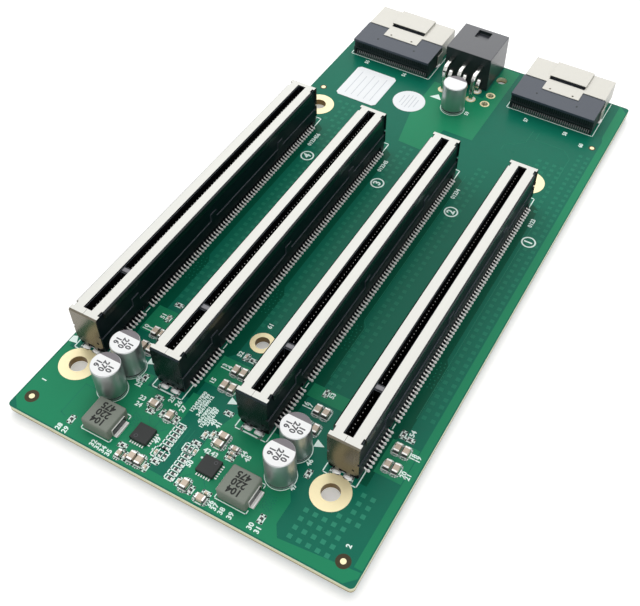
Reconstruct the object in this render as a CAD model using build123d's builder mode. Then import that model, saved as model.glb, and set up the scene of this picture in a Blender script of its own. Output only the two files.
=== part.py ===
from build123d import *
import os

# Adapter board: four shielded card slots side by side, two shielded cable connectors and a six-way
# power header along the far edge, and two small step-down regulators along the near edge.
# Millimetres. X runs from slot 4 to slot 1, Y from the near edge to the far edge, and Z up.
# The origin is the middle of the four mounting holes, on the underside of the board.

# Card slots
slot_count = 4
slot_pitch = 20.32
slot_first_contact_y = -42.4
contact_pitch = 1.0
contacts_per_row = 82
contacts_before_key = 11
key_pitches = 3

# Circuit board
board_left = -36.4
board_right = 43.6
board_near = -65.0
board_far = 91.0
board_thickness = 1.6
board_corner = 1.0
lead_below_board = 1.2
solder_clearance = 0.15
small_hole_sides = 6

# Mounting holes: two on the centre line of each outer slot, and a smaller one between the middle slots
hole_spacing_y = 100.0
hole_bore = 4.0
centre_hole_y = -26.2
centre_hole_bore = 3.3

# Sheet-metal shroud over each slot, measured from the first contact and from the board's top
sheet = 0.3
shroud_width = 7.2
shroud_top = 11.4
shroud_near = -3.0
shroud_beyond_last = 2.55
shroud_bend = 0.35
shroud_cap_width = 7.0
shroud_cap_length = 1.3
shroud_notch_length = 1.3
shroud_notch_depth = 0.65
skirt_height = 1.9
end_plate_bottom = 1.4
end_plate_corner = 1.0
shroud_leg_x = 1.25
shroud_leg_width = 0.9
latch_notch_z = 5.6
latch_notch_height = 0.6
latch_notch_depth = 0.35
window_width = 2.1
window_near = -1.15
window_beyond_last = 1.1

# Moulded housing inside the shroud
housing_gap = 0.1
base_width = 6.8
base_bottom = 0.4
base_ledge = 4.8
card_slot_width = 1.8
card_slot_floor = 2.9
key_width = 1.7
key_drop = 0.3
tail_recess_depth = 0.5
tail_recess_top = 2.0
tail_recess_end = 0.6
key_rest_length = 1.2
shoulder_ys = (8.0, 37.3, 66.5)
shoulder_length = 2.3
shoulder_top = 6.8

# Contact feet of the slots
foot_tip_x = 4.3
foot_sole = 0.7
foot_root_height = 1.2
foot_width = 0.5

# Cable connectors
connector_xs = {"left": -21.85, "right": 26.3}
connector_rear_y = 75.1
connector_top = 4.9
connector_body_depth = 9.4
lip_thickness = 0.7
lip_overhang = 0.55
ledge_top = 2.3
ledge_thickness = 0.4
ledge_reach = 0.15
tail_wall = 1.3
body_underside = 0.3
cheek_width = 0.6
nose_width = 19.2
nose_length = 7.0
nose_bottom = 0.5
nose_top = 4.3
blade_slot_width = 17.8
blade_slot_height = 1.0
blade_slot_z = 1.9
blade_slot_depth = 6.0
shell_sheet = 0.2
shell_width = 22.8
shell_length = 9.0
tongue_width = 10.4
tongue_overlap = 3.7
tongue_join = 1.3
slit_length = 0.8
blister_height = 0.6
strap_length = 3.0
strap_height = 3.4
strap_gap = 0.05
strap_sheet = 0.25
shell_leg_length = 1.2
connector_contacts = 37
connector_contact_pitch = 0.6
connector_end_clearance = 0.13
connector_foot_width = 0.24
connector_foot_tip = 0.2
connector_foot_sole = 0.45
connector_foot_root_height = 0.75

# Power header
header_width = 13.1
header_depth = 12.6
header_height = 10.0
header_pitch = 4.2
header_columns = 3
header_row_zs = (2.9, 7.1)
header_board_rows = (77.1, 73.0)
header_pin = 1.0
header_pin_bend = 0.7
header_pin_recess = 3.0
header_socket = 3.5
header_socket_depth = 9.0
header_catch_width = 3.8
header_catch_length = 3.5
header_catch_depth = 1.0
header_catch_setback = 1.0
header_hole = 1.8
header_peg_hole = 3.0
peg_hole_sides = 16
header_peg_hole_y = 84.9

# Radial capacitors
can_diameter = 6.3
can_height = 8.7
header_can_height = 8.3
can_top_bevel = 0.25
can_foot_height = 0.75
can_foot_inset = 0.15
can_lead_spacing = 2.5
can_lead = 0.5
can_places = {
    "left_front_capacitor": (-20.25, -51.5, can_height),
    "left_rear_capacitor": (-20.4, -45.05, can_height),
    "right_front_capacitor": (20.35, -51.6, can_height),
    "right_rear_capacitor": (19.95, -45.05, can_height),
    "header_capacitor": (1.5, 66.95, header_can_height),
}

# Power inductors and regulator chips
inductor_places = {"left": (-16.45, -58.45), "right": (15.35, -58.3)}
inductor_side = 6.5
inductor_height = 3.0
inductor_corner = 0.3
inductor_top_edge = 0.2
terminal_width = 4.0
terminal_sheet = 0.25
terminal_height = 2.0
terminal_reach = 1.0
chip_places = {"left": (-8.05, -57.35), "right": (7.4, -56.95)}
chip_side = 3.9
chip_height = 0.9

# Chip parts, each as length, width and height, with the places of those along X and along Y
ceramic_size = (2.0, 1.25, 1.15)
ceramic_along_x = [(-10.5, -50.4), (6.1, -49.9), (6.1, -51.8), (9.8, -63.4)]
ceramic_along_y = [(-6.1, -51.2), (-6.9, -62.5), (-5.1, -62.5), (5.5, -62.4)]
slot_ceramic_x = {1: (6.8, 8.65), 2: (8.95, 10.8), 3: (9.45, 11.3), 4: (9.1, 11.0)}
slot_ceramic_y = (7.1, 2.8)
small_ceramic_size = (1.6, 0.8, 0.8)
small_ceramic_along_x = [(9.5, -51.2)]
small_ceramic_along_y = [(-9.6, -63.1)]
tiny_ceramic_size = (1.0, 0.5, 0.5)
tiny_ceramic_along_x = [(9.5, -52.25), (9.6, -53.3), (10.1, -61.9)]
tiny_ceramic_along_y = [
    (-8.3, -62.95), (-3.4, -63.0), (-3.6, -59.2), (2.5, -51.3), (3.9, -50.5), (3.0, -55.5),
    (4.1, -62.35), (-21.3, -30.75), (-0.8, -31.1),
]
resistor_size = (1.0, 0.5, 0.35)
ladder_pitch = 1.1
ladder_rungs = 6
ladder_tops = [(-2.6, -52.1), (2.1, -57.1)]
resistor_along_x = [
    (-10.3, -52.0), (-10.6, -48.6), (-10.2, -61.2), (-2.6, -61.0), (2.1, -53.7),
    (3.75, -44.75), (-21.5, -26.5), (0.7, -31.3), (38.5, -32.2),
]
resistor_along_y = [
    (-7.8, -51.3), (-4.5, -51.3), (-2.6, -59.2), (-1.5, -59.2), (0.95, -55.5), (1.95, -55.5),
    (7.05, -62.75), (18.5, -30.75), (36.8, -31.7), (-22.8, -61.4), (22.0, -61.2), (24.75, -48.65),
    (-16.2, -46.0),
]

# Paper labels
label_thickness = 0.1
round_label_diameter = 8.9
round_label_sides = 32
round_label_place = (-9.9, 63.5)
square_label_size = (12.0, 13.9)
square_label_corner = 0.8
square_label_x = -23.1
square_label_gap = 4.55

# Worked-out places
board_top = board_thickness
slot_xs = {n + 1: (slot_count - 1 - 2 * n) / 2 * slot_pitch for n in range(slot_count)}
hole_spacing_x = (slot_count - 1) * slot_pitch
contact_ys = [
    (n if n < contacts_before_key else n + key_pitches - 1) * contact_pitch for n in range(contacts_per_row)
]
last_contact_y = contact_ys[-1]
key_y = (contact_ys[contacts_before_key - 1] + contact_ys[contacts_before_key]) / 2
shroud_far = last_contact_y + shroud_beyond_last
window_far = last_contact_y + window_beyond_last
leg_bottom = -board_thickness - lead_below_board
end_plate_ys = (shroud_near + sheet / 2, shroud_far - sheet / 2)
housing_near = shroud_near + sheet + housing_gap
housing_far = shroud_far - sheet - housing_gap
header_front_y = board_far
header_rear_y = header_front_y - header_depth
header_xs = [(n - (header_columns - 1) / 2) * header_pitch for n in range(header_columns)]
spare_column_x = header_xs[-1] + header_pitch
connector_row = (connector_contacts - 1) * connector_contact_pitch + connector_foot_width
connector_width = connector_row + 2 * (connector_end_clearance + cheek_width)
shell_leg_y = connector_rear_y + connector_body_depth - strap_length + shell_leg_length / 2
strap_inner_x = connector_width / 2 + strap_gap
shell_leg_x = strap_inner_x + strap_sheet / 2
leg_slot_size = (shroud_leg_width + 2 * solder_clearance, sheet + 2 * solder_clearance)
shell_leg_slot_size = (strap_sheet + 2 * solder_clearance, shell_leg_length + 2 * solder_clearance)
square_label_y = connector_rear_y - square_label_gap - square_label_size[1] / 2

os.makedirs("parts", exist_ok=True)


def box_between(low, high, mode=Mode.ADD):
    """Add or cut a box, given its lowest and highest corners."""
    size = [high[n] - low[n] for n in range(3)]
    middle = tuple((high[n] + low[n]) / 2 for n in range(3))
    with Locations(middle):
        Box(*size, mode=mode)


def save(piece, name):
    """Label a finished piece and write it to its own file."""
    piece.part.label = name
    export_step(piece.part, f"parts/{name}.step")


def place_copy(shape, name, x, y, z):
    """Set a copy of a repeated piece in its place on the board, and save it."""
    with BuildPart() as piece:
        with Locations((x, y, z)):
            add(shape)
    save(piece, name)


# Circuit board: rounded corners, mounting holes, and a hole for every lead and leg
with BuildPart() as circuit_board:
    with BuildSketch(Plane.XY) as outline:
        with Locations(((board_left + board_right) / 2, (board_near + board_far) / 2)):
            RectangleRounded(board_right - board_left, board_far - board_near, board_corner)
        with GridLocations(hole_spacing_x, hole_spacing_y, 2, 2):
            Circle(hole_bore / 2, mode=Mode.SUBTRACT)
        with Locations((0, centre_hole_y)):
            Circle(centre_hole_bore / 2, mode=Mode.SUBTRACT)
        for slot_x in slot_xs.values():
            for end_plate_y in end_plate_ys:
                with Locations((slot_x, slot_first_contact_y + end_plate_y)):
                    with GridLocations(2 * shroud_leg_x, 0, 2, 1):
                        Rectangle(*leg_slot_size, mode=Mode.SUBTRACT)
        for connector_x in connector_xs.values():
            with Locations((connector_x, shell_leg_y)):
                with GridLocations(2 * shell_leg_x, 0, 2, 1):
                    Rectangle(*shell_leg_slot_size, mode=Mode.SUBTRACT)
        for can_x, can_y, _ in can_places.values():
            with Locations((can_x, can_y)):
                with GridLocations(0, can_lead_spacing, 1, 2):
                    RegularPolygon(can_lead / 2 + solder_clearance, small_hole_sides, mode=Mode.SUBTRACT)
        for row_y in header_board_rows:
            with Locations(*[(x, row_y) for x in header_xs + [spare_column_x]]):
                RegularPolygon(header_hole / 2, small_hole_sides, mode=Mode.SUBTRACT)
        with Locations((spare_column_x, header_peg_hole_y)):
            RegularPolygon(header_peg_hole / 2, peg_hole_sides, mode=Mode.SUBTRACT)
    extrude(amount=board_thickness)
save(circuit_board, "circuit_board")


# Slot housing: a moulded bar with the keyed card slot, a wider base, and a recess along each side
# where the contact tails come out. It stands on the board at its ends and under the key.
with BuildPart() as slot_housing:
    housing_top = shroud_top - sheet
    upper_half = shroud_width / 2 - sheet - housing_gap
    base_half = base_width / 2
    recess_half = base_half - tail_recess_depth
    box_between((-base_half, housing_near, base_bottom), (base_half, housing_far, base_ledge))
    box_between((-upper_half, housing_near, base_ledge), (upper_half, housing_far, housing_top))
    for shoulder_y in shoulder_ys:
        box_between(
            (-base_half, shoulder_y, base_ledge), (base_half, shoulder_y + shoulder_length, shoulder_top)
        )
    box_between((-upper_half, housing_near, 0), (upper_half, contact_ys[0] - tail_recess_end, base_bottom))
    box_between((-upper_half, last_contact_y + tail_recess_end, 0), (upper_half, housing_far, base_bottom))
    rest_half = key_rest_length / 2
    box_between((-recess_half, key_y - rest_half, 0), (recess_half, key_y + rest_half, base_bottom))
    for first, last in ((0, contacts_before_key - 1), (contacts_before_key, contacts_per_row - 1)):
        recess_near = contact_ys[first] - tail_recess_end
        recess_far = contact_ys[last] + tail_recess_end
        for side in (-1, 1):
            recess_x = sorted((side * recess_half, side * base_half))
            box_between(
                (recess_x[0], recess_near, base_bottom), (recess_x[1], recess_far, tail_recess_top),
                mode=Mode.SUBTRACT,
            )
    card_half = card_slot_width / 2
    key_near = key_y - key_width / 2
    key_far = key_y + key_width / 2
    box_between(
        (-card_half, window_near, card_slot_floor), (card_half, key_near, housing_top), mode=Mode.SUBTRACT
    )
    box_between(
        (-card_half, key_far, card_slot_floor), (card_half, window_far, housing_top), mode=Mode.SUBTRACT
    )
    box_between(
        (-card_half, key_near, housing_top - key_drop), (card_half, key_far, housing_top), mode=Mode.SUBTRACT
    )


# Slot shroud: one folded sheet, with a long window in its top, a skirt down each side, a relief
# notch at each corner, an end plate down each end, and two legs from each end plate
with BuildPart() as slot_shroud:
    outer_half = shroud_width / 2
    skirt_near = shroud_near + shroud_cap_length + shroud_notch_length
    skirt_far = shroud_far - shroud_cap_length - shroud_notch_length
    skirt_middle = Plane.XZ.offset(-(skirt_near + skirt_far) / 2)
    with BuildSketch(skirt_middle):
        with Locations((0, shroud_top - skirt_height / 2)):
            Rectangle(shroud_width, skirt_height)
        with Locations((0, shroud_top - sheet - skirt_height / 2)):
            Rectangle(shroud_width - 2 * sheet, skirt_height, mode=Mode.SUBTRACT)
    extrude(amount=(skirt_far - skirt_near) / 2, both=True)
    bend_edges = slot_shroud.edges().filter_by(Axis.Y).group_by(Axis.Z)[-1]
    chamfer(bend_edges, shroud_bend)
    cap_half = shroud_cap_width / 2
    inner_half = outer_half - shroud_notch_depth
    under_top = shroud_top - sheet
    box_between((-inner_half, shroud_near, under_top), (inner_half, shroud_far, shroud_top))
    for end_y, inward in ((shroud_near, 1), (shroud_far, -1)):
        cap_y = sorted((end_y, end_y + inward * shroud_cap_length))
        box_between((-cap_half, cap_y[0], under_top), (cap_half, cap_y[1], shroud_top))
        plate_plane = Plane.XZ.offset(-(end_y + inward * sheet / 2))
        with BuildSketch(plate_plane):
            with BuildLine():
                Polyline(
                    (-cap_half, shroud_top), (cap_half, shroud_top),
                    (cap_half, end_plate_bottom + end_plate_corner),
                    (cap_half - end_plate_corner, end_plate_bottom),
                    (-cap_half + end_plate_corner, end_plate_bottom),
                    (-cap_half, end_plate_bottom + end_plate_corner),
                    close=True,
                )
            make_face()
            with Locations((0, latch_notch_z + latch_notch_height / 2)):
                with GridLocations(shroud_cap_width - latch_notch_depth, 0, 2, 1):
                    Rectangle(latch_notch_depth, latch_notch_height, mode=Mode.SUBTRACT)
            with Locations((0, (end_plate_bottom + leg_bottom) / 2)):
                with GridLocations(2 * shroud_leg_x, 0, 2, 1):
                    Rectangle(shroud_leg_width, end_plate_bottom - leg_bottom)
        extrude(amount=sheet / 2, both=True)
    end_bends = slot_shroud.edges().filter_by(Axis.X).filter_by_position(
        Axis.Z, shroud_top - sheet / 2, shroud_top + sheet / 2
    )
    outer_bends = [end_bends.sort_by(Axis.Y)[0], end_bends.sort_by(Axis.Y)[-1]]
    chamfer(outer_bends, shroud_bend)
    box_between(
        (-window_width / 2, window_near, under_top), (window_width / 2, window_far, shroud_top),
        mode=Mode.SUBTRACT,
    )


# Contact feet: each is a short wedge that slopes from the housing's recess down to its pad
def contact_feet(side):
    recess_x = base_width / 2 - tail_recess_depth
    with BuildPart() as foot:
        with BuildSketch(Plane.XZ):
            with BuildLine():
                Polyline(
                    (side * recess_x, foot_root_height), (side * foot_tip_x, 0),
                    (side * (foot_tip_x - foot_sole), 0), close=True,
                )
            make_face()
        extrude(amount=foot_width / 2, both=True)
    with BuildPart() as feet:
        with Locations(*[(0, y, 0) for y in contact_ys]):
            add(foot.part)
    return feet.part


left_feet = contact_feet(-1)
right_feet = contact_feet(1)
for number, slot_x in slot_xs.items():
    place_copy(slot_housing.part, f"slot_{number}_housing", slot_x, slot_first_contact_y, board_top)
    place_copy(slot_shroud.part, f"slot_{number}_shroud", slot_x, slot_first_contact_y, board_top)
    place_copy(left_feet, f"slot_{number}_contacts_left", slot_x, slot_first_contact_y, board_top)
    place_copy(right_feet, f"slot_{number}_contacts_right", slot_x, slot_first_contact_y, board_top)


# Cable connector housing: a moulded block with a lip and a ledge along its rear, a cheek down to
# the board at each end, and a nose with the blade slot inside the shell
with BuildPart() as connector_housing:
    body_half = connector_width / 2
    lip_bottom = connector_top - lip_thickness
    ledge_bottom = ledge_top - ledge_thickness
    with BuildSketch(Plane.YZ):
        with BuildLine():
            Polyline(
                (0, connector_top), (connector_body_depth, connector_top),
                (connector_body_depth, body_underside), (tail_wall, body_underside),
                (tail_wall, ledge_bottom), (ledge_reach, ledge_bottom), (ledge_reach, ledge_top),
                (lip_overhang, ledge_top), (lip_overhang, lip_bottom), (0, lip_bottom), close=True,
            )
        make_face()
    extrude(amount=body_half, both=True)
    for side in (-1, 1):
        cheek_x = sorted((side * body_half, side * (body_half - cheek_width)))
        box_between((cheek_x[0], ledge_reach, 0), (cheek_x[1], connector_body_depth, ledge_top))
    box_between(
        (-nose_width / 2, connector_body_depth, nose_bottom),
        (nose_width / 2, connector_body_depth + nose_length, nose_top),
    )
    nose_front = connector_body_depth + nose_length
    box_between(
        (-blade_slot_width / 2, nose_front - blade_slot_depth, blade_slot_z),
        (blade_slot_width / 2, nose_front, blade_slot_z + blade_slot_height),
        mode=Mode.SUBTRACT,
    )


# Cable connector shell: a sheet-metal sleeve round the nose, with a tongue back over the housing, a
# raised blister behind a slit in its top, and a strap and leg at each side
with BuildPart() as connector_shell:
    shell_half = shell_width / 2
    shell_rear = connector_body_depth
    shell_front = shell_rear + shell_length
    shell_top = connector_top + shell_sheet
    blister_top = shell_top + blister_height
    tongue_half = tongue_width / 2
    slit_near = shell_rear + tongue_join
    slit_far = slit_near + slit_length
    with BuildSketch(Plane.XZ.offset(-(shell_rear + shell_front) / 2)):
        with Locations((0, shell_top / 2)):
            Rectangle(shell_width, shell_top)
            Rectangle(shell_width - 2 * shell_sheet, shell_top - 2 * shell_sheet, mode=Mode.SUBTRACT)
    extrude(amount=shell_length / 2, both=True)
    box_between(
        (-tongue_half, shell_rear - tongue_overlap, connector_top), (tongue_half, shell_rear, shell_top)
    )
    box_between((-tongue_half, slit_far, connector_top), (tongue_half, shell_front, blister_top))
    box_between(
        (-tongue_half + shell_sheet, slit_near, connector_top - shell_sheet),
        (tongue_half - shell_sheet, shell_front, blister_top - shell_sheet),
        mode=Mode.SUBTRACT,
    )
    for side in (-1, 1):
        strap_outer_x = strap_inner_x + strap_sheet
        strap_x = sorted((side * strap_inner_x, side * strap_outer_x))
        jog_x = sorted((side * (shell_half - shell_sheet), side * strap_outer_x))
        strap_rear = shell_rear - strap_length
        box_between((strap_x[0], strap_rear, 0), (strap_x[1], shell_rear + strap_sheet, strap_height))
        box_between((jog_x[0], shell_rear, 0), (jog_x[1], shell_rear + strap_sheet, strap_height))
        box_between((strap_x[0], strap_rear, leg_bottom), (strap_x[1], strap_rear + shell_leg_length, 0))


# Cable connector feet, in the recess under the housing's ledge
with BuildPart() as connector_foot:
    with BuildSketch(Plane.YZ):
        with BuildLine():
            Polyline(
                (tail_wall, connector_foot_root_height), (connector_foot_tip, 0),
                (connector_foot_tip + connector_foot_sole, 0), close=True,
            )
        make_face()
    extrude(amount=connector_foot_width / 2, both=True)

with BuildPart() as connector_feet:
    with GridLocations(connector_contact_pitch, 0, connector_contacts, 1):
        add(connector_foot.part)

for side_name, connector_x in connector_xs.items():
    prefix = f"{side_name}_connector"
    place_copy(connector_housing.part, f"{prefix}_housing", connector_x, connector_rear_y, board_top)
    place_copy(connector_shell.part, f"{prefix}_shell", connector_x, connector_rear_y, board_top)
    place_copy(connector_feet.part, f"{prefix}_contacts", connector_x, connector_rear_y, board_top)


# Power header: a block with six sockets in its far face and a catch pocket in its top
with BuildPart() as power_header_housing:
    header_half = header_width / 2
    header_base = board_top
    header_top = header_base + header_height
    box_between((-header_half, header_rear_y, header_base), (header_half, header_front_y, header_top))
    catch_far = header_front_y - header_catch_setback
    catch_half = header_catch_width / 2
    box_between(
        (-catch_half, catch_far - header_catch_length, header_top - header_catch_depth),
        (catch_half, catch_far, header_top),
        mode=Mode.SUBTRACT,
    )
    for row_z in header_row_zs:
        for pin_x in header_xs:
            with Locations((pin_x, header_front_y - header_socket_depth / 2, header_base + row_z)):
                Box(header_socket, header_socket_depth, header_socket, mode=Mode.SUBTRACT)
            with Locations((pin_x, (header_rear_y + header_front_y) / 2, header_base + row_z)):
                Box(header_pin, header_depth, header_pin, mode=Mode.SUBTRACT)
save(power_header_housing, "power_header_housing")

# Header pins: square wire, bent down from the rear of the header and through the board
with BuildPart() as power_header_pins:
    pin_half = header_pin / 2
    pin_front = header_front_y - header_pin_recess
    pin_bottom = -lead_below_board
    for row_z, foot_y in zip(header_row_zs, header_board_rows):
        pin_z = board_top + row_z
        for pin_x in header_xs:
            with BuildSketch(Plane.YZ.offset(pin_x)):
                with BuildLine():
                    Polyline(
                        (foot_y - pin_half, pin_bottom),
                        (foot_y - pin_half, pin_z + pin_half - header_pin_bend),
                        (foot_y - pin_half + header_pin_bend, pin_z + pin_half),
                        (pin_front, pin_z + pin_half), (pin_front, pin_z - pin_half),
                        (foot_y + pin_half, pin_z - pin_half), (foot_y + pin_half, pin_bottom), close=True,
                    )
                make_face()
            extrude(amount=pin_half, both=True)
save(power_header_pins, "power_header_pins")


# Radial capacitors: a drawn can, drawn in at its foot and bevelled at its top, on two wire leads
def capacitor(height):
    radius = can_diameter / 2
    foot_radius = radius - can_foot_inset
    with BuildPart() as can:
        with BuildSketch(Plane.XZ):
            with BuildLine():
                Polyline(
                    (0, 0), (foot_radius, 0), (foot_radius, can_foot_height),
                    (radius, can_foot_height + can_foot_inset), (radius, height - can_top_bevel),
                    (radius - can_top_bevel, height), (0, height), close=True,
                )
            make_face()
        revolve(axis=Axis.Z)
        with BuildSketch(Plane.XY):
            with GridLocations(0, can_lead_spacing, 1, 2):
                RegularPolygon(can_lead / 2, small_hole_sides)
        extrude(amount=leg_bottom)
    return can.part


for name, (can_x, can_y, height) in can_places.items():
    place_copy(capacitor(height), name, can_x, can_y, board_top)


# Power inductors: a moulded block with cut corners, and a folded terminal on each side
with BuildPart() as inductor_body:
    with BuildSketch(Plane.XY):
        Rectangle(inductor_side, inductor_side)
        chamfer(vertices(), inductor_corner)
    extrude(amount=inductor_height)
    chamfer(inductor_body.faces().sort_by(Axis.Z)[-1].edges(), inductor_top_edge)

with BuildPart() as inductor_terminals:
    body_x = inductor_side / 2
    for side in (-1, 1):
        with BuildSketch(Plane.XZ):
            with BuildLine():
                Polyline(
                    (side * body_x, 0), (side * (body_x + terminal_reach), 0),
                    (side * (body_x + terminal_reach), terminal_sheet),
                    (side * (body_x + terminal_sheet), terminal_sheet),
                    (side * (body_x + terminal_sheet), terminal_height),
                    (side * body_x, terminal_height), close=True,
                )
            make_face()
        extrude(amount=terminal_width / 2, both=True)

for side_name, (x, y) in inductor_places.items():
    place_copy(inductor_body.part, f"{side_name}_inductor_body", x, y, board_top)
    place_copy(inductor_terminals.part, f"{side_name}_inductor_terminals", x, y, board_top)

# Regulator chips: flat square packages
for side_name, (x, y) in chip_places.items():
    with BuildPart() as regulator_chip:
        with Locations((x, y, board_top + chip_height / 2)):
            Box(chip_side, chip_side, chip_height)
    save(regulator_chip, f"{side_name}_regulator_chip")


# Chip parts: small bricks on the board, lengthwise along X or along Y
def chip_bricks(size, along_x, along_y):
    length, width, height = size
    if along_x:
        with Locations(*[(x, y, board_top + height / 2) for x, y in along_x]):
            Box(length, width, height)
    if along_y:
        with Locations(*[(x, y, board_top + height / 2) for x, y in along_y]):
            Box(width, length, height)


with BuildPart() as ceramic_capacitors:
    beside_slots = [
        (slot_x + dx, slot_first_contact_y + dy)
        for number, slot_x in slot_xs.items()
        for dx in slot_ceramic_x.get(number, slot_ceramic_x[1])
        for dy in slot_ceramic_y
    ]
    chip_bricks(ceramic_size, ceramic_along_x, ceramic_along_y + beside_slots)
    chip_bricks(small_ceramic_size, small_ceramic_along_x, small_ceramic_along_y)
save(ceramic_capacitors, "ceramic_capacitors")

with BuildPart() as tiny_ceramic_capacitors:
    chip_bricks(tiny_ceramic_size, tiny_ceramic_along_x, tiny_ceramic_along_y)
save(tiny_ceramic_capacitors, "tiny_ceramic_capacitors")

with BuildPart() as chip_resistors:
    rungs = [(x, y - n * ladder_pitch) for x, y in ladder_tops for n in range(ladder_rungs)]
    chip_bricks(resistor_size, resistor_along_x + rungs, resistor_along_y)
save(chip_resistors, "chip_resistors")

# Paper labels, stuck flat on the board
with BuildPart() as round_label:
    with BuildSketch(Plane.XY.offset(board_top)):
        with Locations(round_label_place):
            RegularPolygon(round_label_diameter / 2, round_label_sides)
    extrude(amount=label_thickness)
save(round_label, "round_label")

with BuildPart() as square_label:
    with BuildSketch(Plane.XY.offset(board_top)):
        with Locations((square_label_x, square_label_y)):
            Rectangle(*square_label_size)
        chamfer(vertices(), square_label_corner)
    extrude(amount=label_thickness)
save(square_label, "square_label")
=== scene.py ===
import math

import bmesh
import bpy
from mathutils import Matrix, Vector


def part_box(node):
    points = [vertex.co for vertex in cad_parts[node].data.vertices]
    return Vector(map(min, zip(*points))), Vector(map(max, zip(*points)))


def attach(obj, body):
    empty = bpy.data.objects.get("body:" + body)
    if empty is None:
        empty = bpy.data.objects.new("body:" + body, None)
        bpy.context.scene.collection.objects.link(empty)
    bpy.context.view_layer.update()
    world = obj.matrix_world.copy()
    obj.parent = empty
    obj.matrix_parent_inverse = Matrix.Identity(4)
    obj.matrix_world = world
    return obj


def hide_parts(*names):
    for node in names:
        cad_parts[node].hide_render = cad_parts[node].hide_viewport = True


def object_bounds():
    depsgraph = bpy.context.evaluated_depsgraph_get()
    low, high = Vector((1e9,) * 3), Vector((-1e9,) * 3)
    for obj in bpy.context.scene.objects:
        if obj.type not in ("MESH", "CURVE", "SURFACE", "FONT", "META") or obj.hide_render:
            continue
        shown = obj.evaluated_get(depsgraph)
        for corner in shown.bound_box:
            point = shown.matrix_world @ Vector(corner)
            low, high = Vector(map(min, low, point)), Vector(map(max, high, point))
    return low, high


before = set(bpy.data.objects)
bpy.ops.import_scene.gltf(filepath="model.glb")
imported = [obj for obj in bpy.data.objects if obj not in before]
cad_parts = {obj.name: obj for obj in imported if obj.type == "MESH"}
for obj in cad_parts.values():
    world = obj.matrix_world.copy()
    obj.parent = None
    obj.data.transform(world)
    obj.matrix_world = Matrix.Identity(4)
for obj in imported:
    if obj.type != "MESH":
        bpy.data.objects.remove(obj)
cad_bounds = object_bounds()

# Shapes are drawn in millimetres, in the part's own frame, and stored in metres
MM = 0.001


def node_box(name):
    low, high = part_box(name)
    return low / MM, high / MM


board_low, board_high = node_box("circuit_board")
TOP = board_high.z
UNDER = board_low.z
SLOTS = (1, 2, 3, 4)
slot_xs = {}
for number in SLOTS:
    low, high = node_box(f"slot_{number}_housing")
    slot_xs[number] = (low.x + high.x) / 2
feet_low, feet_high = node_box("slot_1_contacts_right")
CONTACT_PITCH = 1.0
CAD_FOOT_WIDTH = 0.5
row_near = feet_low.y + CAD_FOOT_WIDTH / 2
row_far = feet_high.y - CAD_FOOT_WIDTH / 2
CONTACTS_BEFORE_KEY = 11
CONTACTS_PER_ROW = 82
KEY_PITCHES = 3
contact_ys = []
for contact in range(CONTACTS_PER_ROW):
    pitches = contact if contact < CONTACTS_BEFORE_KEY else contact + KEY_PITCHES - 1
    contact_ys.append(row_near + pitches * CONTACT_PITCH)
key_y = (contact_ys[CONTACTS_BEFORE_KEY - 1] + contact_ys[CONTACTS_BEFORE_KEY]) / 2
shroud_low, shroud_high = node_box("slot_1_shroud")
WINDOW_BEFORE_ROW = 1.15
window_near = row_near - WINDOW_BEFORE_ROW
MOUTH_HALF = 0.9
LEG_X = 1.25

# Holes in the board, in millimetres: the screw holes, the header's holes that stay empty, and the centre hole
SCREW_X = (slot_xs[1] - slot_xs[4]) / 2
SCREW_Y = 50.0
SCREW_BORE = 2.0
SCREW_FLANGE = 4.15
SPARE_X = 8.4
SPARE_BORE = 0.9
SPARE_FLANGE = 1.3
PEG_Y = 84.9
PEG_BORE = 1.5
HEADER_ROWS = (77.1, 73.0)
CENTRE_HOLE = (0.0, -26.2, 1.65, 2.75)
BARREL_WALL = 0.04

# Heights of the thin layers on the board, and how much the solder mask shines
MASK_STEP = 0.012
INK_STEP = 0.03
PAD_STEP = 0.04
MASK_GLOSS = 0.08


# Node groups

def new_group(name, inputs, outputs):
    group = bpy.data.node_groups.new(name, "ShaderNodeTree")
    for label, kind, value in inputs:
        socket = group.interface.new_socket(name=label, in_out="INPUT", socket_type=kind)
        socket.default_value = value
    for label, kind in outputs:
        group.interface.new_socket(name=label, in_out="OUTPUT", socket_type=kind)
    entry = group.nodes.new("NodeGroupInput")
    leave = group.nodes.new("NodeGroupOutput")
    return group, entry, leave


def set_inputs(node, values):
    """Plain values for a node's own sockets, by name."""
    for label, value in values.items():
        node.inputs[label].default_value = value


def math_node(nodes, links, operation, *values):
    """The output of a maths node on plain numbers or on other nodes' outputs."""
    node = nodes.new("ShaderNodeMath")
    node.operation = operation
    for socket, value in zip(node.inputs, values):
        if isinstance(value, (int, float)):
            socket.default_value = value
        else:
            links.new(value, socket)
    return node.outputs[0]


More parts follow.
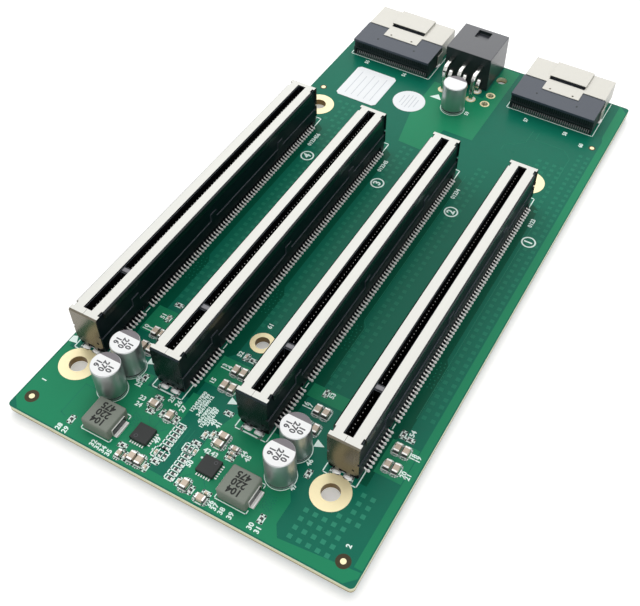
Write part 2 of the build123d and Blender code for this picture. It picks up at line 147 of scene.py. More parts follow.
def grain_group():
    """Colour, roughness and relief that vary a little over a surface, stretched along one axis if asked."""
    group, entry, leave = new_group(
        "surface grain",
        [
            ("Colour", "NodeSocketColor", (0.5, 0.5, 0.5, 1)), ("Spread", "NodeSocketFloat", 0.1),
            ("Scale", "NodeSocketFloat", 1000.0), ("Stretch", "NodeSocketVector", (1, 1, 1)),
            ("Roughness", "NodeSocketFloat", 0.5), ("Roughness spread", "NodeSocketFloat", 0.1),
            ("Relief", "NodeSocketFloat", 0.1), ("Depth", "NodeSocketFloat", 0.00002),
        ],
        [("Color", "NodeSocketColor"), ("Roughness", "NodeSocketFloat"), ("Normal", "NodeSocketVector")],
    )
    nodes, links = group.nodes, group.links
    place = nodes.new("ShaderNodeTexCoord")
    stretch = nodes.new("ShaderNodeMapping")
    links.new(place.outputs["Object"], stretch.inputs["Vector"])
    links.new(entry.outputs["Stretch"], stretch.inputs["Scale"])
    noise = nodes.new("ShaderNodeTexNoise")
    noise.inputs["Detail"].default_value = 4.0
    links.new(stretch.outputs["Vector"], noise.inputs["Vector"])
    links.new(entry.outputs["Scale"], noise.inputs["Scale"])
    centred = math_node(nodes, links, "SUBTRACT", noise.outputs["Fac"], 0.5)
    swing = math_node(nodes, links, "MULTIPLY_ADD", centred, entry.outputs["Spread"], 1.0)
    shade = nodes.new("ShaderNodeVectorMath")
    shade.operation = "SCALE"
    links.new(entry.outputs["Colour"], shade.inputs[0])
    links.new(swing, shade.inputs["Scale"])
    links.new(shade.outputs[0], leave.inputs["Color"])
    rough = math_node(nodes, links, "MULTIPLY_ADD", centred, entry.outputs["Roughness spread"],
                      entry.outputs["Roughness"])
    rough.node.use_clamp = True
    links.new(rough, leave.inputs["Roughness"])
    bump = nodes.new("ShaderNodeBump")
    links.new(entry.outputs["Relief"], bump.inputs["Strength"])
    links.new(entry.outputs["Depth"], bump.inputs["Distance"])
    links.new(noise.outputs["Fac"], bump.inputs["Height"])
    links.new(bump.outputs["Normal"], leave.inputs["Normal"])
    return group


surface_grain = grain_group()


def side_mask_group():
    """1 on walls that stand upright, 0 on level faces, and the height above the underside in millimetres."""
    group, _, leave = new_group(
        "upright walls", [], [("Wall", "NodeSocketFloat"), ("Height", "NodeSocketFloat")]
    )
    nodes, links = group.nodes, group.links
    facing = nodes.new("ShaderNodeNewGeometry")
    split = nodes.new("ShaderNodeSeparateXYZ")
    links.new(facing.outputs["True Normal"], split.inputs[0])
    level = math_node(nodes, links, "ABSOLUTE", split.outputs["Z"])
    links.new(math_node(nodes, links, "LESS_THAN", level, 0.5), leave.inputs["Wall"])
    place = nodes.new("ShaderNodeTexCoord")
    height = nodes.new("ShaderNodeSeparateXYZ")
    links.new(place.outputs["Object"], height.inputs[0])
    links.new(math_node(nodes, links, "DIVIDE", height.outputs["Z"], MM), leave.inputs["Height"])
    return group


upright_walls = side_mask_group()


# Materials

COAT_ROUGHNESS = 0.12
ROUGHNESS_SPREAD = 0.1


def tone(red, green, blue):
    """A display colour of 0 to 255 as the linear colour that nodes use."""
    linear = []
    for level in (red, green, blue):
        share = level / 255
        linear.append(share / 12.92 if share <= 0.04045 else ((share + 0.055) / 1.055) ** 2.4)
    return (*linear, 1)


def finish(name, colour, roughness, metallic=0.0, spread=0.08, scale=1500.0, stretch=(1, 1, 1),
           relief=0.15, depth=0.00002, coat=0.0, specular=0.5):
    material = bpy.data.materials.new(name)
    material.use_nodes = True
    nodes, links = material.node_tree.nodes, material.node_tree.links
    surface = nodes["Principled BSDF"]
    set_inputs(surface, {"Metallic": metallic, "Coat Weight": coat, "Coat Roughness": COAT_ROUGHNESS,
                         "Specular IOR Level": specular})
    grain = nodes.new("ShaderNodeGroup")
    grain.node_tree = surface_grain
    set_inputs(grain, {"Colour": colour, "Spread": spread, "Scale": scale, "Stretch": stretch,
                       "Roughness": roughness, "Roughness spread": ROUGHNESS_SPREAD, "Relief": relief,
                       "Depth": depth})
    links.new(grain.outputs["Color"], surface.inputs["Base Color"])
    links.new(grain.outputs["Roughness"], surface.inputs["Roughness"])
    links.new(grain.outputs["Normal"], surface.inputs["Normal"])
    return material


def mixed(material, first, second, factor):
    """A colour node that goes from the first colour to the second with the factor's value."""
    nodes, links = material.node_tree.nodes, material.node_tree.links
    mix = nodes.new("ShaderNodeMix")
    mix.data_type = "RGBA"
    for socket, value in ((mix.inputs[6], first), (mix.inputs[7], second)):
        if isinstance(value, tuple):
            socket.default_value = value
        else:
            links.new(value, socket)
    links.new(factor, mix.inputs[0])
    return mix.outputs[2]


def solder_mask(name, colour, spread, depth=0.00002):
    return finish(name, colour, 0.3, scale=420.0, spread=spread, relief=0.1, depth=depth, specular=MASK_GLOSS)


def board_material():
    """Solder mask on the faces, and the bare laminate's layers on the cut edges."""
    material = solder_mask("board_laminate", tone(14, 108, 86), 0.1, depth=0.00001)
    nodes, links = material.node_tree.nodes, material.node_tree.links
    surface = nodes["Principled BSDF"]
    grain = surface.inputs["Base Color"].links[0].from_socket
    walls = nodes.new("ShaderNodeGroup")
    walls.node_tree = upright_walls
    layers = nodes.new("ShaderNodeValToRGB")
    ramp = layers.color_ramp
    ramp.elements[0].position = 0.0
    ramp.elements[0].color = tone(116, 92, 60)
    ramp.elements[1].position = 1.0
    ramp.elements[1].color = tone(206, 224, 196)
    middle_layers = ((0.14, tone(150, 126, 84)), (0.26, tone(214, 208, 170)), (0.9, tone(226, 230, 200)))
    for position, colour in middle_layers:
        stop = ramp.elements.new(position)
        stop.color = colour
    share = math_node(nodes, links, "DIVIDE", walls.outputs["Height"], TOP - UNDER)
    links.new(share, layers.inputs["Fac"])
    colour = mixed(material, grain, layers.outputs["Color"], walls.outputs["Wall"])
    links.new(colour, surface.inputs["Base Color"])
    return material


board_mask = board_material()
mask_on_copper = solder_mask("mask_on_copper", tone(30, 134, 94), 0.06, depth=0.00001)
mask_on_tiles = solder_mask("mask_on_tiles", tone(28, 122, 96), 0.08)
# Tiles in the near right corner: a lighter copy of the tile colour, a painted sheen.
tiles_painted_corner_sheen = solder_mask("tiles_painted_corner_sheen", tone(46, 140, 112), 0.08)
# Darker mask beside the slots: partly a copper-free area, partly painted shade of the slots.
mask_keepout_and_slot_shade = solder_mask("mask_keepout_and_slot_shade", tone(0, 84, 62), 0.12)
white_ink = finish("white_ink", tone(236, 255, 248), 0.6, scale=3000.0, spread=0.06, specular=0.2)
gold_plate = finish("gold_plate", tone(246, 232, 186), 0.42, metallic=0.25, scale=900.0, spread=0.06)
solder = finish("solder", tone(250, 250, 248), 0.4, metallic=0.1, scale=900.0, spread=0.08, relief=0.3,
                depth=0.00004)
tin = finish("tinned_metal", tone(248, 247, 243), 0.36, metallic=0.25, scale=1500.0)
# The shroud steel as it looks lit, for the top faces.
shroud_metal = finish("shroud_steel", tone(206, 206, 200), 0.4, metallic=0.2, scale=260.0,
                      stretch=(6, 0.6, 6), spread=0.05, relief=0.05)
# A dark copy of the same steel for upright and low faces: painted shade.
steel_side_painted_shade = finish("shroud_side_painted_shade", tone(62, 66, 68), 0.26, metallic=1.0, scale=260.0,
                     stretch=(6, 0.6, 6), spread=0.1)
# The end plates: one steel in a dark copy and a warm copy, painted reflections of what the plates face.
painted_dark_reflection_plate = finish("end_plate_painted_dark_reflection", tone(42, 52, 56), 0.26, metallic=0.9, scale=320.0,
                    stretch=(3, 3, 0.5), spread=0.12, relief=0.0)
painted_warm_reflection_plate = finish("end_plate_painted_warm_reflection", tone(118, 112, 98), 0.26, metallic=0.8, scale=240.0,
                    stretch=(3, 3, 0.5), spread=0.3, relief=0.0)
slot_moulding = finish("slot_moulding", tone(0, 8, 16), 0.4, scale=2600.0, spread=0.3, relief=0.2,
                       specular=0.2)
# A lighter copy of the slot moulding for the bevelled edges: painted highlight.
slot_edge_painted_highlight = finish("slot_moulding_painted_edge_highlight", tone(84, 92, 102), 0.4, scale=900.0, spread=0.5)
# Near-black: painted shade on the springs, inside the mouth and in the pips, and the dark seam in the near
# cap.
slot_shade_and_seam = finish("slot_shade_and_seam", tone(5, 6, 8), 0.5, scale=2600.0, spread=0.3, relief=0.2, specular=0.1)
key_moulding = finish("key_moulding", tone(112, 111, 116), 0.4, scale=2600.0)
shell_metal = finish("shell_steel", tone(191, 189, 181), 0.38, metallic=0.3, scale=700.0, spread=0.05)
connector_moulding = finish("connector_moulding", tone(50, 58, 71), 0.46, scale=2400.0, spread=0.16,
                            relief=0.2)
header_moulding = finish("header_moulding", tone(48, 51, 58), 0.3, scale=2400.0, spread=0.12, relief=0.1,
                         coat=0.2)
# A darker copy of the connector and header mouldings for faces turned from the light, and for the cans' crimp
# groove: painted shade.
moulding_painted_shade = finish("moulding_painted_shade", tone(30, 41, 42), 0.42, scale=2400.0, spread=0.2, specular=0.25)
can_metal = finish("can_aluminium", tone(188, 191, 191), 0.36, metallic=0.9, scale=500.0, stretch=(1, 1, 0.1),
                   spread=0.05)
can_white = finish("can_top_white", tone(240, 241, 241), 0.5, scale=2200.0, spread=0.03, specular=0.3)
can_grey = finish("can_top_grey", tone(120, 116, 120), 0.5, scale=2200.0, spread=0.08, specular=0.3)
ink_grey = finish("ink_grey", tone(84, 84, 88), 0.6, scale=2200.0, specular=0.2)
inductor_moulding = finish("inductor_moulding", tone(114, 121, 110), 0.5, scale=2600.0, spread=0.22,
                           relief=0.35)
ink_dark = finish("ink_dark", tone(38, 40, 38), 0.6, scale=2200.0, specular=0.2)
chip_moulding = finish("chip_moulding", tone(38, 41, 40), 0.46, scale=3200.0, spread=0.25, relief=0.3,
                       specular=0.25)
ceramic = finish("capacitor_ceramic", tone(204, 186, 166), 0.42, spread=0.12, scale=2500.0)
resistor_black = finish("resistor_black", tone(26, 26, 28), 0.35, scale=2600.0)
label_paper = finish("label_paper", tone(238, 241, 243), 0.6, scale=1800.0, spread=0.03, specular=0.2)
label_ink = finish("label_ink", tone(206, 210, 214), 0.6, scale=1800.0, spread=0.05, specular=0.2)
# A dark copy of the tin for the upright faces of taller chip ends: painted shade.
tin_side_painted_shade = finish("tinned_side_painted_shade", tone(74, 76, 74), 0.3, metallic=0.6, scale=1500.0)
foot_metal = finish("small_foot_metal", tone(120, 124, 124), 0.34, metallic=0.4, scale=1500.0)
# Dark brown for the walls of the hole barrels: painted shade on the plating.
bore_painted_shade = finish("bore_painted_shade", tone(128, 104, 62), 0.4, metallic=0.6, scale=900.0)
pin_metal = finish("pin_metal", tone(206, 206, 202), 0.16, metallic=1.0, scale=900.0, relief=0.05)
# Bare laminate in the clearances of the marks; also flat discs of painted shade for the dimples.
laminate_and_dimple_shade = finish("laminate_and_dimple_shade", tone(60, 52, 30), 0.5, scale=1600.0, spread=0.3, specular=0.2)


# Mesh helpers

HOLE_SIDES = 32


def new_piece(name, shape, materials, replaces=(), smooth=False):
    """Make an object of a finished bmesh, which was drawn in millimetres."""
    bmesh.ops.scale(shape, vec=(MM, MM, MM), verts=shape.verts)
    mesh = bpy.data.meshes.new(name)
    for face in shape.faces:
        face.smooth = smooth
    shape.to_mesh(mesh)
    shape.free()
    piece = bpy.data.objects.new(name, mesh)
    bpy.context.scene.collection.objects.link(piece)
    for material in materials:
        mesh.materials.append(material)
    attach(piece, "root")
    if replaces:
        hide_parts(*replaces)
    return piece


def paint(verts, index):
    for face in {face for vert in verts for face in vert.link_faces}:
        face.material_index = index


def add_box(shape, corner, opposite, index=0, turn=0.0):
    """A box between two opposite corners, turned about its own middle."""
    corner, opposite = Vector(corner), Vector(opposite)
    place = Matrix.Translation((corner + opposite) / 2) @ Matrix.Rotation(turn, 4, "Z")
    stretch = Matrix.Diagonal((*(abs(span) for span in opposite - corner), 1))
    verts = bmesh.ops.create_cube(shape, size=1.0, matrix=place @ stretch)["verts"]
    paint(verts, index)
    return verts


def add_disc(shape, centre, radius, height, segments=20, index=0, top_radius=None):
    """A round plate or a cone frustum, standing on its centre."""
    place = Matrix.Translation(Vector(centre) + Vector((0, 0, height / 2)))
    verts = bmesh.ops.create_cone(
        shape, cap_ends=True, segments=segments, radius1=radius,
        radius2=radius if top_radius is None else top_radius, depth=height, matrix=place,
    )["verts"]
    paint(verts, index)


def add_plate(shape, corners, base, height, index=0, holes=()):
    """A level plate with the given outline, and round holes given as x, y and radius."""
    loops = [[(x, y) for x, y in corners]]
    for x, y, radius in holes:
        angles = [math.tau * step / HOLE_SIDES for step in range(HOLE_SIDES)]
        loops.append([(x + radius * math.cos(angle), y + radius * math.sin(angle)) for angle in angles])
    if holes:
        edges = []
        for loop in loops:
            verts = [shape.verts.new((x, y, base)) for x, y in loop]
            edges += [shape.edges.new(pair) for pair in zip(verts, verts[1:] + verts[:1])]
        filled = bmesh.ops.triangle_fill(shape, use_beauty=True, edges=edges)["geom"]
        faces = [item for item in filled if isinstance(item, bmesh.types.BMFace)]
    else:
        faces = [shape.faces.new([shape.verts.new((x, y, base)) for x, y in loops[0]])]
    for face in faces:
        face.normal_update()
        if face.normal.z > 0:
            face.normal_flip()
    made = bmesh.ops.extrude_face_region(shape, geom=faces, use_keep_orig=True)["geom"]
    raised = [item for item in made if isinstance(item, bmesh.types.BMVert)]
    bmesh.ops.translate(shape, vec=(0, 0, height), verts=raised)
    paint(raised, index)
    for face in faces:
        face.material_index = index


def add_prism(shape, outline, run):
    """A closed outline in space, drawn out along a run."""
    face = shape.faces.new([shape.verts.new(point) for point in outline])
    made = bmesh.ops.extrude_face_region(shape, geom=[face], use_keep_orig=True)["geom"]
    raised = [item for item in made if isinstance(item, bmesh.types.BMVert)]
    bmesh.ops.translate(shape, vec=run, verts=raised)


def ease(shape, verts, offset):
    """Cut off all the edges of a small block."""
    edges = list({edge for vert in verts for edge in vert.link_edges})
    bmesh.ops.bevel(shape, geom=edges, offset=offset, offset_type="OFFSET", segments=1, profile=0.5,
                    affect="EDGES", clamp_overlap=True, material=-1)


def round_edges(piece, width, segments, angle, material=-1):
    """Round the edges that are sharper than an angle in degrees."""
    rounding = piece.modifiers.new("eased edges", "BEVEL")
    rounding.width = width * MM
    rounding.segments = segments
    rounding.limit_method = "ANGLE"
    rounding.angle_limit = math.radians(angle)
    rounding.material = material


def add_line(shape, start, end, width, base, height, index=0):
    """A straight stroke, which runs half its width past both ends."""
    start, end = Vector(start), Vector(end)
    run = end - start
    middle = Vector((*(start + end) / 2, base + height / 2))
    half = Vector(((run.length + width) / 2, width / 2, height / 2))
    add_box(shape, middle - half, middle + half, index, turn=math.atan2(run.y, run.x))


def add_stroke(shape, points, width, base, height, closed=False, index=0):
    ends = points[1:] + points[:1] if closed else points[1:]
    for start, end in zip(points, ends):
        add_line(shape, start, end, width, base, height, index)


def add_ring(shape, centre, outer, inner, base, height, segments=40, index=0):
    """A flat ring with square edges, spun from its section."""
    start = len(shape.faces)
    section = ((inner, base), (outer, base), (outer, base + height), (inner, base + height))
    verts = [shape.verts.new((centre[0] + out, centre[1], z)) for out, z in section]
    edges = [shape.edges.new(pair) for pair in zip(verts, verts[1:] + verts[:1])]
    bmesh.ops.spin(
        shape, geom=verts + edges, cent=(*centre, 0), axis=(0, 0, 1), angle=2 * math.pi, steps=segments,
        use_merge=True, use_duplicate=False,
    )
    shape.faces.ensure_lookup_table()
    made = shape.faces[start:]
    bmesh.ops.recalc_face_normals(shape, faces=made)
    for face in made:
        face.material_index = index


def rounded_outline(centre, width, length, corner, steps=2):
    """The corners of an upright rectangle with rounded or cut corners."""
    points = []
    for quarter, (side_x, side_y) in enumerate(((1, 1), (-1, 1), (-1, -1), (1, -1))):
        middle_x = centre[0] + side_x * (width / 2 - corner)
        middle_y = centre[1] + side_y * (length / 2 - corner)
        for step in range(steps + 1):
            angle = math.pi / 2 * (quarter + step / steps)
            points.append((middle_x + corner * math.cos(angle), middle_y + corner * math.sin(angle)))
    return points


def solids_of(node):
    """The box of each separate solid in a CAD node, in millimetres."""
    copy = bmesh.new()
    copy.from_mesh(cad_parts[node].data)
    bmesh.ops.remove_doubles(copy, verts=copy.verts, dist=0.000001)
    boxes = []
    waiting = set(copy.verts)
    while waiting:
        group = [waiting.pop()]
        for vert in group:
            for edge in vert.link_edges:
                other = edge.other_vert(vert)
                if other in waiting:
                    waiting.discard(other)
                    group.append(other)
        low = Vector([min(vert.co[axis] for vert in group) for axis in range(3)]) / MM
        high = Vector([max(vert.co[axis] for vert in group) for axis in range(3)]) / MM
        boxes.append((low, high))
    copy.free()
    return sorted(boxes, key=lambda pair: (round(pair[0].x, 3), round(pair[0].y, 3)))


def refined(node, materials, bevel, index_of=None, edge_index=-1):
    """Stand a copy of a CAD node in its place, with its sharp edges eased."""
    copy = bmesh.new()
    copy.from_mesh(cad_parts[node].data)
    bmesh.ops.remove_doubles(copy, verts=copy.verts, dist=0.000001)
    bmesh.ops.dissolve_limit(copy, angle_limit=math.radians(1), verts=copy.verts, edges=copy.edges)
    bmesh.ops.scale(copy, vec=(1 / MM,) * 3, verts=copy.verts)
    if index_of:
        for face in copy.faces:
            face.material_index = index_of(face)
    piece = new_piece(f"{node}_dressed", copy, materials, (node,))
    round_edges(piece, bevel, 2, 40, edge_index)


def add_digits(shape, digits, place, size, turn, base, height, index=0):
    """Plain figures, printed flat with their middle on the given place."""
    text = bpy.data.curves.new("figures", "FONT")
    text.body = digits
    text.size = size
    text.offset = 0.035 * size
    text.align_x = "CENTER"
    text.align_y = "CENTER"
    text.resolution_u = 2
    text.extrude = height / 2
    holder = bpy.data.objects.new("figures", text)
    mesh = bpy.data.meshes.new_from_object(holder)
    shift = Matrix.Translation((place[0], place[1], base + height / 2))
    mesh.transform(shift @ Matrix.Rotation(turn, 4, "Z"))
    before = len(shape.faces)
    shape.from_mesh(mesh)
    shape.faces.ensure_lookup_table()
    for face in shape.faces[before:]:
        face.material_index = index
    bpy.data.objects.remove(holder)
    bpy.data.curves.remove(text)
    bpy.data.meshes.remove(mesh)


# Board artwork

def solder_mask_areas():
    """Copper areas under the mask, which look brighter, and a darker mask beside each slot, partly an area
    with no copper and partly painted shade of the slot.
    """
    shape = bmesh.new()
    edge_band = 1.7
    left, right = board_low.x + 0.3, board_high.x - 0.3
    near, far = board_low.y + 0.3, board_high.y - 0.3
    copper = [
        [(left, near + 2), (left + 2, near), (right - 2, near), (right, near + 2),
         (right, near + edge_band + 1.6), (26.5, near + edge_band), (24.9, -60.6), (24.9, -55.5),
         (22.4, -51.6), (19.0, -51.0), (19.0, -44.0), (5.2, -44.0), (3.4, -50.0), (3.4, -63.0),
         (-3.6, -63.0), (-3.6, -44.0), (-5.4, -44.0), (-5.4, -47.2), (-14.6, -47.2), (-14.6, -44.6),
         (-25.2, -44.6), (-25.2, -47.2), (-35.2, -47.2), (-35.2, -41.5), (left, -41.5)],
        [(right - edge_band, -61.0), (right, -61.0), (right, far - 2), (right - 2, far), (41.0, far),
         (41.0, 76.0), (right - edge_band, 74.0)],
        [(-7.6, 75.0), (-7.6, 60.0), (-5.0, 47.6), (2.4, 47.2), (3.4, 57.4), (11.6, 57.4), (11.6, 90.4),
         (7.0, 90.4), (7.0, 75.0)],
        [(-18.6, -35.9), (-18.6, -28.5), (-25.3, -28.5), (-25.3, -35.9)],
        [(-5.2, -40.6), (2.4, -40.6), (2.4, -33.0), (-5.2, -33.0)],
        [(15.0, -33.0), (23.8, -33.0), (23.8, -29.6), (15.0, -29.6)],
        [(35.4, -42.0), (41.4, -42.0), (41.4, -33.5), (35.4, -33.5)],
    ]
    header_holes = [(SPARE_X, y, SPARE_BORE) for y in HEADER_ROWS] + [(SPARE_X, PEG_Y, PEG_BORE)]
    holes_of = {0: [(-SCREW_X, -SCREW_Y, SCREW_BORE)], 2: header_holes}
    for order, corners in enumerate(copper):
        add_plate(shape, corners, TOP, MASK_STEP, holes=holes_of.get(order, ()))
    for x in slot_xs.values():
        # A darker strip on the right of each slot: partly bare of copper, partly painted shade from the slot.
        corners = [
            (x + 3.4, row_near - 3.2), (x + 5.4, row_near - 3.2), (x + 5.4, row_near + 9),
            (x + 7.1, row_near + 11), (x + 7.1, row_near + 30), (x + 6.0, row_near + 32),
            (x + 6.0, row_far + 1), (x + 3.4, row_far + 3),
        ]
        add_plate(shape, corners, TOP, MASK_STEP * 0.7, index=1)
    new_piece("solder_mask_areas", shape, [mask_on_copper, mask_keepout_and_slot_shade])


def copper_tiles():
    """Small squares of balancing copper under the mask, on a two-millimetre grid."""
    pitch, side = 2.0, 0.95
    fields = [
        (-22.7, -20.6, -24.0, 45.0), (-2.5, 1.4, -22.0, 46.0), (17.9, 21.8, -28.0, 48.0),
        (38.6, 40.6, -26.0, 66.0), (28.3, 36.4, -61.5, -54.5), (34.3, 38.4, -53.5, -46.0),
        (30.0, 36.0, 41.0, 60.0), (-32.0, -20.4, 46.0, 54.0),
    ]
    shape = bmesh.new()
    for left, right, near, far in fields:
        for column in range(int((right - left) / pitch) + 1):
            for row in range(int((far - near) / pitch) + 1):
                x, y = left + column * pitch, near + row * pitch
                if math.hypot(abs(x) - SCREW_X, abs(y) - SCREW_Y) < SCREW_FLANGE + side:
                    continue
                # Tiles in the near right corner take the lighter copy, a painted sheen.
                in_sheen_corner = int(x > 27 and y < -40)
                low, high = (x - side / 2, y - side / 2, TOP), (x + side / 2, y + side / 2, TOP + MASK_STEP)
                add_box(shape, low, high, index=in_sheen_corner)
    new_piece("copper_tiles", shape, [mask_on_tiles, tiles_painted_corner_sheen])


def tracks_and_vias():
    """Copper tracks that show through the mask, and small mask-covered vias."""
    shape = bmesh.new()
    width = 0.16
    routes = [
        [(16.0, 44.0), (16.0, -9.8), (17.1, -11.2), (17.1, -26.5)],
        [(37.4, 36.0), (37.4, -27.0)],
        [(-25.8, -53.2), (-25.8, -61.0), (-24.4, -61.4)],
        [(-25.8, -53.2), (-22.4, -53.2)],
        [(-0.9, -51.5), (-0.9, -59.0)], [(0.1, -51.5), (0.1, -55.0)],
        [(-9.8, -53.2), (-8.7, -54.4)], [(-7.3, -53.0), (-7.3, -54.6)], [(-4.9, -54.0), (-5.9, -55.0)],
        [(3.6, -53.6), (4.8, -54.9)], [(5.2, -59.8), (3.9, -61.0)], [(7.9, -59.6), (9.2, -61.0)],
        [(22.0, 62.5), (19.6, 60.0), (19.6, 58.0)], [(24.2, 69.0), (24.2, 64.0), (21.4, 61.2)],
        [(26.0, 69.0), (26.0, 66.0), (34.0, 66.0), (36.5, 63.5), (36.5, 54.0)],
    ]
    for points in routes:
        add_stroke(shape, points, width, TOP, MASK_STEP * 1.4)
    clusters = [(slot_xs[number] + 6.2, row_near + 27.0, 3, 8, 0.9, 1.0) for number in SLOTS]
    clusters += [(21.4, -57.7, 5, 6, 0.45, 0.62), (-11.8, -55.2, 5, 5, 0.45, 0.62),
                 (20.8, -52.4, 3, 4, 0.6, 0.7)]
    for middle_x, middle_y, columns, rows, step_x, step_y in clusters:
        for column in range(columns):
            for row in range(rows):
                x = middle_x + (column - (columns - 1) / 2) * step_x + 0.18 * math.sin(row * 2.3)
                y = middle_y + (row - (rows - 1) / 2) * step_y + 0.2 * math.sin(column * 1.7)
                add_disc(shape, (x, y, TOP), 0.16, MASK_STEP * 2, segments=8)
    new_piece("tracks_and_vias", shape, [mask_on_tiles])


def plated_hole(shape, place, bore, flange, segments):
    """A hole's ring on each side of the board, and the barrel between them."""
    inner = bore - BARREL_WALL
    for base in (TOP, UNDER - PAD_STEP):
        add_ring(shape, place, flange, inner, base, PAD_STEP, segments=segments)
    # The barrel wall takes the dark brown, painted shade inside the hole.
    add_ring(shape, place, bore, inner, UNDER, TOP - UNDER, segments=segments, index=1)


def hole_plating():
    """The screw holes, the centre hole and the header's spare holes, and the optical marks."""
    shape = bmesh.new()
    holes = [(x, y, SCREW_BORE, SCREW_FLANGE) for x in (-SCREW_X, SCREW_X) for y in (-SCREW_Y, SCREW_Y)]
    holes.append(CENTRE_HOLE)
    lip, lip_height = 0.3, 0.02
    for x, y, bore, flange in holes:
        plated_hole(shape, (x, y), bore, flange, 56)
        add_ring(shape, (x, y), bore + lip, bore - BARREL_WALL, TOP + PAD_STEP, lip_height, segments=56)
    for y in HEADER_ROWS:
        plated_hole(shape, (SPARE_X, y), SPARE_BORE, SPARE_FLANGE, 28)
    new_piece("hole_plating", shape, [gold_plate, bore_painted_shade])
    marks = bmesh.new()
    for x, y, dot, clear in ((-33.4, -61.0, 0.6, 1.5), (39.4, -61.0, 0.6, 1.5), (-33.1, 57.2, 0.6, 0.9),
                             (40.1, 70.5, 0.6, 0.9)):
        add_disc(marks, (x, y, TOP), clear, MASK_STEP * 1.5, segments=32, index=1)
        add_disc(marks, (x, y, TOP), dot, PAD_STEP, segments=24)
    new_piece("optical_marks", marks, [gold_plate, laminate_and_dimple_shade])


def slot_ink(shape):
    """Corner brackets, pin marks, end boxes and circled figures of the card slots."""
    stroke = 0.24
    across = 3.7
    near = row_near - 4.38
    far = row_far + (row_near - near)
    short_arm, long_arm, inward = 2.05, 4.1, 1.15
    for number in SLOTS:
        x = slot_xs[number]
        for end, towards in ((near, 1), (far, -1)):
            for side, arm in ((-1, short_arm), (1, long_arm)):
                corner = (x + side * across, end)
                add_line(shape, corner, (x + side * across, end + towards * arm), stroke, TOP, INK_STEP)
                add_line(shape, corner, (x + side * (across - inward), end), stroke, TOP, INK_STEP)
            box = rounded_outline((x, end + towards * 0.92), 4.75, 1.75, 0.5)
            add_stroke(shape, box, 0.34, TOP, INK_STEP, closed=True)
        for side in (-1, 1):
            mark_x = x + side * 3.75
            add_line(shape, (mark_x, key_y - 0.6), (mark_x, key_y + 0.6), stroke, TOP, INK_STEP)
        if number != 4:
            tip = row_near + 0.4
            add_plate(shape, [(x - 8.0, tip - 0.95), (x - 6.0, tip), (x - 8.0, tip + 0.95)], TOP, INK_STEP)
        figure_x, figure_y = x + 8.0, 30.5
        add_ring(shape, (figure_x, figure_y), 1.78, 1.4, TOP, INK_STEP, segments=28)
        add_digits(shape, str(number), (figure_x, figure_y), 2.7, math.pi / 2, TOP, INK_STEP)
    add_plate(shape, [(-36.2, -44.6), (-35.2, -44.2), (-34.3, -45.9), (-36.2, -46.2)], TOP, INK_STEP)


def chip_ink(shape):
    """Outlines round the chip parts: rounded ones for the larger capacitors, square ones for the rest."""
    for node, margin, corner in (("ceramic_capacitors", 0.55, 0.7), ("tiny_ceramic_capacitors", 0.4, 0.14),
                                 ("chip_resistors", 0.4, 0.14)):
        for low, high in solids_of(node):
            size = high - low
            centre = (low + high) / 2
            if in_ladder(centre):
                continue
            along_x = size.x > size.y
            grow_x = margin if along_x else margin * 0.6
            grow_y = margin * 0.6 if along_x else margin
            points = rounded_outline((centre.x, centre.y), size.x + 2 * grow_x, size.y + 2 * grow_y, corner)
            add_stroke(shape, points, 0.28, TOP, INK_STEP, closed=True)
    for ladder in LADDERS:
        ladder_ink(shape, *ladder)


# Printed ladders: left, right, far and near edge, number of rungs, and the box at the end
LADDERS = (
    (-3.85, -1.75, -51.45, -57.98, 6, (-4.4, -1.1, -57.98, -60.2)),
    (0.95, 2.9, -56.4, -63.03, 6, (0.3, 3.25, -54.4, -56.35)),
)


def in_ladder(centre):
    for left, right, far, near, _, frame_box in LADDERS:
        if left < centre.x < right and near < centre.y < far:
            return True
        if frame_box[0] < centre.x < frame_box[1] and frame_box[3] < centre.y < frame_box[2]:
            return True
    return False


def ladder_ink(shape, left, right, far, near, rungs, frame_box):
    """A row of small parts in one printed ladder, with a box across its end for three parts side by side."""
    stroke = 0.25
    rails = [(left, far), (right, far), (right, near), (left, near)]
    add_stroke(shape, rails, stroke, TOP, INK_STEP, closed=True)
    for rung in range(1, rungs):
        y = far + (near - far) * rung / rungs
        add_line(shape, (left, y), (right, y), stroke, TOP, INK_STEP)
    frame_left, frame_right, frame_far, frame_near = frame_box
    corners = [(frame_left, frame_far), (frame_right, frame_far), (frame_right, frame_near),
               (frame_left, frame_near)]
    add_stroke(shape, corners, stroke, TOP, INK_STEP, closed=True)
    for part in (1, 2):
        x = frame_left + (frame_right - frame_left) * part / 3
        add_line(shape, (x, frame_far), (x, frame_near), stroke * 0.8, TOP, INK_STEP)


